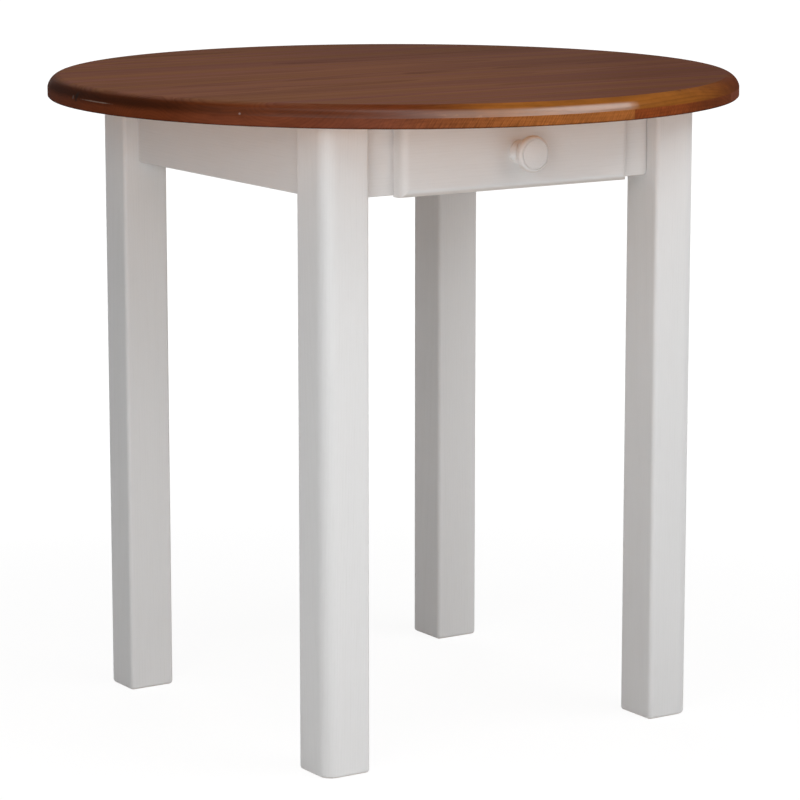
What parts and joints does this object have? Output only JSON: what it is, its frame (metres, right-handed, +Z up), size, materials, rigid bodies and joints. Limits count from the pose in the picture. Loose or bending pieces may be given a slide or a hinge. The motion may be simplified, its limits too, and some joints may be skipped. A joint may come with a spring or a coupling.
{
  "type": "round dining table",
  "caption": "Round dining table with a stained wooden top, a white-painted square-legged frame and a sliding drawer with a turned knob.",
  "frame": {"origin": "on the floor under the middle of the round top", "axes": "+Z up, +X along the drawer front to the right, the drawer opens towards -Y"},
  "size_m": [0.8, 0.8, 0.75],
  "materials": {
    "stained_pine": "satin stain",
    "white_paint": "satin paint over wood",
    "bare_pine": "planed",
    "beech": "fluted",
    "fibreboard": "smooth board",
    "zinc_steel": "zinc plated"
  },
  "bodies": {
    "table": {"top_stave_1": "stained_pine", "top_stave_2": "stained_pine", "top_stave_3": "stained_pine", "top_stave_4": "stained_pine", "top_stave_5": "stained_pine", "top_stave_6": "stained_pine", "top_stave_7": "stained_pine", "top_stave_8": "stained_pine", "top_stave_9": "stained_pine", "leg_front_left": "white_paint", "leg_front_right": "white_paint", "leg_back_left": "white_paint", "leg_back_right": "white_paint", "apron_front": "white_paint", "apron_back": "white_paint", "apron_left": "white_paint", "apron_right": "white_paint", "corner_block_front_left": "bare_pine", "corner_block_front_right": "bare_pine", "corner_block_back_left": "bare_pine", "corner_block_back_right": "bare_pine", "cross_batten_left": "bare_pine", "cross_batten_right": "bare_pine", "cleat_left": "bare_pine", "cleat_right": "bare_pine", "cleat_back": "bare_pine", "drawer_runner_left": "bare_pine", "drawer_runner_right": "bare_pine", "apron_dowels": "beech", "runner_dowels": "beech", "hanger_bolts": "zinc_steel", "bolt_washers": "zinc_steel", "bolt_nuts": "zinc_steel", "corner_block_screws": "zinc_steel", "batten_screws": "zinc_steel", "cleat_screws": "zinc_steel"},
    "drawer": {"drawer_front": "white_paint", "knob": "white_paint", "drawer_side_left": "bare_pine", "drawer_side_right": "bare_pine", "drawer_back": "bare_pine", "drawer_bottom": "fibreboard", "drawer_stop_batten": "bare_pine", "drawer_front_dowels": "beech", "knob_screw": "zinc_steel", "drawer_back_screws": "zinc_steel", "drawer_bottom_pins": "zinc_steel"}
  },
  "joints": [
    {"name": "drawer_slide", "type": "slide", "parent": "table", "child": "drawer", "axis": [0, -1, 0], "range_m": [0, 0.259]}
  ]
}
